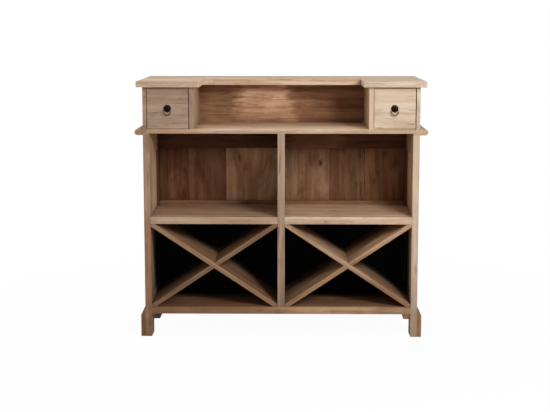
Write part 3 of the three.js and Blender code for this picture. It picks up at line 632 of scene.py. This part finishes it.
# %% Iron material
def make_iron():
    material = bpy.data.materials.new("black_iron")
    material.use_nodes = True
    tree = material.node_tree
    tree.nodes.clear()
    place = add(tree, "ShaderNodeTexCoord").outputs["Object"]
    wear_dirt_and_shade = add(tree, "ShaderNodeGroup", node_tree=rub_dirt_and_shade)
    tree.links.new(place, wear_dirt_and_shade.inputs["Position"])
    wear_dirt_and_shade.inputs["Edge width"].default_value = 0.0012
    wear_dirt_and_shade.inputs["Reach"].default_value = 0.006
    hammered = cloud(tree, place, (420.0, 420.0, 420.0), 2.0)
    speck = cloud(tree, place, (1500.0, 1500.0, 1500.0), 3.0)
    colour = blend_colour(tree, ease(tree, hammered, 0.35, 0.7), tint("160705"), tint("24100c"))
    rubbed = math_node(tree, "MULTIPLY", wear_dirt_and_shade.outputs["Rub"], 0.5)
    colour = blend_colour(tree, rubbed, colour, tint("554a44"))
    soiled_and_shaded = math_node(tree, "MULTIPLY", wear_dirt_and_shade.outputs["Dirt and shade"], 0.4)
    colour = blend_colour(tree, soiled_and_shaded, colour, tint("2b1a10"))
    rough = ease(tree, speck, 0.3, 0.7, 0.34, 0.52)
    bump = add(tree, "ShaderNodeBump", {"Strength": 0.25, "Distance": 0.0004, "Height": hammered})
    surface = add(tree, "ShaderNodeBsdfPrincipled", {
        "Base Color": colour, "Roughness": rough, "Normal": bump.outputs[0],
    })
    surface.inputs["Metallic"].default_value = 0.0
    surface.inputs["Specular IOR Level"].default_value = 0.1
    add(tree, "ShaderNodeOutputMaterial", {"Surface": surface.outputs[0]})
    return material


iron = make_iron()
print("iron made")

# %% [markdown]
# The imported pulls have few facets, so smooth ones take their place. Rosette and pin are turned from a
# profile, as on a lathe. The ring is drawn from a round bar that is a little thicker at the bottom, where
# a smith closes it. All sizes come from the boxes of the pieces that they stand for.

# %% Build the pulls
MM = 0.001


def turned(mesh, profile, centre, segments=72):
    """Turns (radius, reach) points about the axis that points at the barkeeper."""
    rows = []
    for radius, reach in profile:
        turn = [2 * math.pi * i / segments for i in range(segments)]
        circle = [Vector((radius * math.cos(a), -reach, radius * math.sin(a))) for a in turn]
        rows.append([mesh.verts.new(centre + point) for point in circle])
    for low, high in zip(rows, rows[1:]):
        for i in range(segments):
            j = (i + 1) % segments
            mesh.faces.new((low[i], low[j], high[j], high[i]))
    mesh.faces.new(rows[0][::-1])
    mesh.faces.new(rows[-1])


def hoop(mesh, centre, radius, wire, across, segments=96, sides=20):
    """A torus whose bar thickness is wire(angle); the axis is Y, or X if across is true."""
    rows = []
    for i in range(segments):
        a = 2 * math.pi * i / segments
        row = []
        for k in range(sides):
            b = 2 * math.pi * k / sides
            out = radius + wire(a) * math.cos(b)
            flat = (out * math.cos(a), wire(a) * math.sin(b), out * math.sin(a))
            row.append(mesh.verts.new(centre + Vector((flat[1], flat[0], flat[2]) if across else flat)))
        rows.append(row)
    for i in range(segments):
        for k in range(sides):
            low, high = rows[i], rows[(i + 1) % segments]
            mesh.faces.new((low[k], high[k], high[(k + 1) % sides], low[(k + 1) % sides]))


def finish_piece(name, mesh, node, body):
    bmesh.ops.recalc_face_normals(mesh, faces=mesh.faces)
    data = bpy.data.meshes.new(name)
    mesh.to_mesh(data)
    mesh.free()
    data.shade_smooth()
    data.set_sharp_from_angle(angle=math.radians(40))
    data.materials.append(iron)
    piece = bpy.data.objects.new(name, data)
    scene.collection.objects.link(piece)
    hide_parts(node)
    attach(piece, body)
    return piece


def rosette_profile(radius, rise, bore):
    rim = 1.2 * MM
    points = [(bore, 0.0), (radius, 0.0), (radius, 0.5 * rim), (radius - 0.35 * MM, rim)]
    for i in range(1, 13):
        a = math.pi / 2 * i / 13
        points.append(((radius - 0.7 * MM) * math.cos(a), rim + (rise - rim - 0.5 * MM) * math.sin(a)))
    collar = bore + 1.5 * MM
    points += [(collar, rise - 0.5 * MM), (collar - 0.4 * MM, rise), (bore, rise)]
    return points


def build_pull(side):
    body, ring_body = f"drawer_{side}_box", f"ring_{side}"
    low, high = (Vector(v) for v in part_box(f"pull_{side}_rosette"))
    radius, rise = (high.x - low.x) / 2, high.y - low.y
    face = Vector(((low.x + high.x) / 2, high.y, (low.z + high.z) / 2))
    mesh = bmesh.new()
    turned(mesh, rosette_profile(radius, rise, 2.5 * MM), face)
    finish_piece(f"rosette_{side}", mesh, f"pull_{side}_rosette", body)

    low, high = (Vector(v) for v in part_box(f"pull_{side}_eye_pin"))
    eye_wire, eye_radius, shank, rivet = 1.3 * MM, 3.6 * MM, 2.2 * MM, 4.5 * MM
    front_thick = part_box(f"drawer_{side}_front")[1][1] - face.y
    tip = face.y - low.y - 2 * (eye_radius + eye_wire) + eye_wire
    behind = face.y - high.y
    mesh = bmesh.new()
    turned(mesh, [
        (0.4 * rivet, behind), (0.8 * rivet, behind + 0.4 * MM), (rivet, behind + 1.2 * MM),
        (rivet, behind + 2 * MM), (shank, behind + 2 * MM), (shank, tip), (0.6 * shank, tip + 0.6 * MM),
    ], face, 40)
    eye_centre = Vector((face.x, low.y + eye_radius + eye_wire, face.z))
    hoop(mesh, eye_centre, eye_radius, lambda a: eye_wire, True, 48, 16)
    finish_piece(f"eye_pin_{side}", mesh, f"pull_{side}_eye_pin", body)

    low, high = (Vector(v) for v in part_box(f"pull_{side}_ring"))
    bar = (high.y - low.y) / 2
    radius = (high.x - low.x) / 2 - bar
    mesh = bmesh.new()
    hoop(mesh, (low + high) / 2, radius, lambda a: bar * (0.94 - 0.06 * math.sin(a)), False)
    finish_piece(f"ring_{side}", mesh, f"pull_{side}_ring", ring_body)
    return front_thick


for side in ("left", "right"):
    print("pull", side, "through a front of", round(build_pull(side), 4), "m")

# %% [markdown]
# ## Nails on the customer's side
# The planks are nailed to the three back rails, two nails a plank. A cut nail leaves a small dark head that
# stands a hair proud of the wood. They are one mesh of short turned discs.

# %% Nail the planks
NAIL_FOOT, NAIL_HEAD, NAIL_HEIGHT = 0.0034, 0.0026, 0.0012


def nail_planks():
    mesh = bmesh.new()
    count = 0
    for plank in range(1, 7):
        low, high = (Vector(v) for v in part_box(f"back_plank_{plank}"))
        for rail in ("top", "middle", "bottom"):
            rail_low, rail_high = (Vector(v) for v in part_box(f"back_rail_{rail}"))
            for share in (0.2, 0.8):
                wander = 0.004 * math.sin(12.9 * count)
                x = low.x + (high.x - low.x) * share + wander
                z = (rail_low.z + rail_high.z) / 2 + 2 * wander
                head = bmesh.ops.create_cone(
                    mesh, cap_ends=True, segments=16,
                    radius1=NAIL_FOOT, radius2=NAIL_HEAD, depth=NAIL_HEIGHT,
                )
                turn = Matrix.Translation((x, high.y + 0.0003, z)) @ Matrix.Rotation(-math.pi / 2, 4, "X")
                bmesh.ops.transform(mesh, matrix=turn, verts=head["verts"])
                count += 1
    data = bpy.data.meshes.new("plank_nails")
    mesh.to_mesh(data)
    mesh.free()
    data.materials.append(iron)
    piece = bpy.data.objects.new("plank_nails", data)
    scene.collection.objects.link(piece)
    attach(piece, "counter")
    return count


print("nails:", nail_planks())

# %% [markdown]
# ## Floor and world
# The photograph is a cut-out on white. The floor and the world are white to the camera, and the floor
# keeps a trace of the shadow near the counter. To the wood the world is only a weak, even light.

# %% Floor and world
WORLD_LIGHT, FLOOR_HALF = 0.25, 30
floor_mesh = bpy.data.meshes.new("studio_floor")
corners = [(x * FLOOR_HALF, y * FLOOR_HALF, 0) for x, y in ((-1, -1), (1, -1), (1, 1), (-1, 1))]
floor_mesh.from_pydata(corners, [], [(0, 1, 2, 3)])
floor = bpy.data.objects.new("studio_floor", floor_mesh)
scene.collection.objects.link(floor)
paper = bpy.data.materials.new("white_paper")
paper.use_nodes = True
tree = paper.node_tree
tree.nodes.clear()
matt = add(tree, "ShaderNodeBsdfDiffuse", {"Color": (0.9, 0.9, 0.9, 1.0)})
glow = add(tree, "ShaderNodeEmission", {"Color": (1.0, 1.0, 1.0, 1.0), "Strength": 1.0})
path = add(tree, "ShaderNodeLightPath").outputs
spot = add(tree, "ShaderNodeTexCoord").outputs["Object"]
away = add(tree, "ShaderNodeVectorMath", {0: spot}, operation="LENGTH").outputs["Value"]
plain = ease(tree, away, 0.8, 2.2, 0.965, 1.0)
seen = math_node(tree, "MULTIPLY", path["Is Camera Ray"], plain)
mixed = add(tree, "ShaderNodeMixShader", {0: seen, 1: matt.outputs[0], 2: glow.outputs[0]})
add(tree, "ShaderNodeOutputMaterial", {"Surface": mixed.outputs[0]})
floor_mesh.materials.append(paper)

world = bpy.data.worlds.new("studio")
scene.world = world
world.use_nodes = True
tree = world.node_tree
tree.nodes.clear()
path = add(tree, "ShaderNodeLightPath").outputs
mirrored = math_node(tree, "MAXIMUM", path["Is Glossy Ray"], path["Is Transmission Ray"])
seen = math_node(tree, "MAXIMUM", path["Is Camera Ray"], mirrored)
lit = add(tree, "ShaderNodeMapRange", {"Value": seen, "To Min": WORLD_LIGHT, "To Max": 1.0})
strength = lit.outputs["Result"]
sky = add(tree, "ShaderNodeBackground", {"Color": (1.0, 1.0, 1.0, 1.0), "Strength": strength})
add(tree, "ShaderNodeOutputWorld", {"Surface": sky.outputs[0]})
print("white floor and world")

# %% [markdown]
# ## Lamps
# The key light stands to the right, above the bar top, because the right side of the photograph is brighter
# and the divider's shadow falls to the left. A large soft light hangs overhead, and a third one lights the
# customer's side, which the photograph doesn't show.

# %% Lamps
def softbox(name, at, target, size, watts):
    lamp = bpy.data.lights.new(name, "AREA")
    lamp.shape = "SQUARE"
    lamp.size = size
    lamp.energy = watts
    holder = bpy.data.objects.new(name, lamp)
    holder.location = at
    aim = Vector(target) - Vector(at)
    holder.rotation_euler = aim.to_track_quat("-Z", "Y").to_euler()
    scene.collection.objects.link(holder)
    return holder


softbox("key", (1.2, -2.1, 1.7), (0.0, -0.1, 0.8), size=0.7, watts=35)
softbox("overhead", (0.2, 0.4, 3.6), (0.0, 0.0, 0.0), size=2.6, watts=24)
softbox("rear", (-3.0, 2.6, 1.8), (0.0, 0.2, 0.6), size=1.8, watts=50)

# %% [markdown]
# ## Camera
# The camera was fitted to points that were measured in the photograph. The photograph's own camera has a
# large lens shift. A small shift and a slight tilt come close to it and keep the counter in other views.

# %% Camera
FOCAL_PX, IMAGE_WIDTH, SHIFT_PX, SENSOR_MM = 1163.2, 550, 20, 36.0
TILT, TURN = 7.9, 0.8
eye = bpy.data.cameras.new("photograph_camera")
eye.sensor_fit = "HORIZONTAL"
eye.sensor_width = SENSOR_MM
eye.lens = FOCAL_PX / IMAGE_WIDTH * SENSOR_MM
eye.shift_y = -SHIFT_PX / IMAGE_WIDTH
eye.clip_end = 200.0
camera = bpy.data.objects.new("photograph_camera", eye)
camera.location = (0.0417, -5.0449, 1.3162)
camera.rotation_euler = (math.radians(90 - TILT), 0.0, math.radians(TURN))
scene.collection.objects.link(camera)
scene.camera = camera
scene.view_settings.view_transform = "Standard"
print("lens", round(eye.lens, 2), "mm")

# %% End
print("scene built")
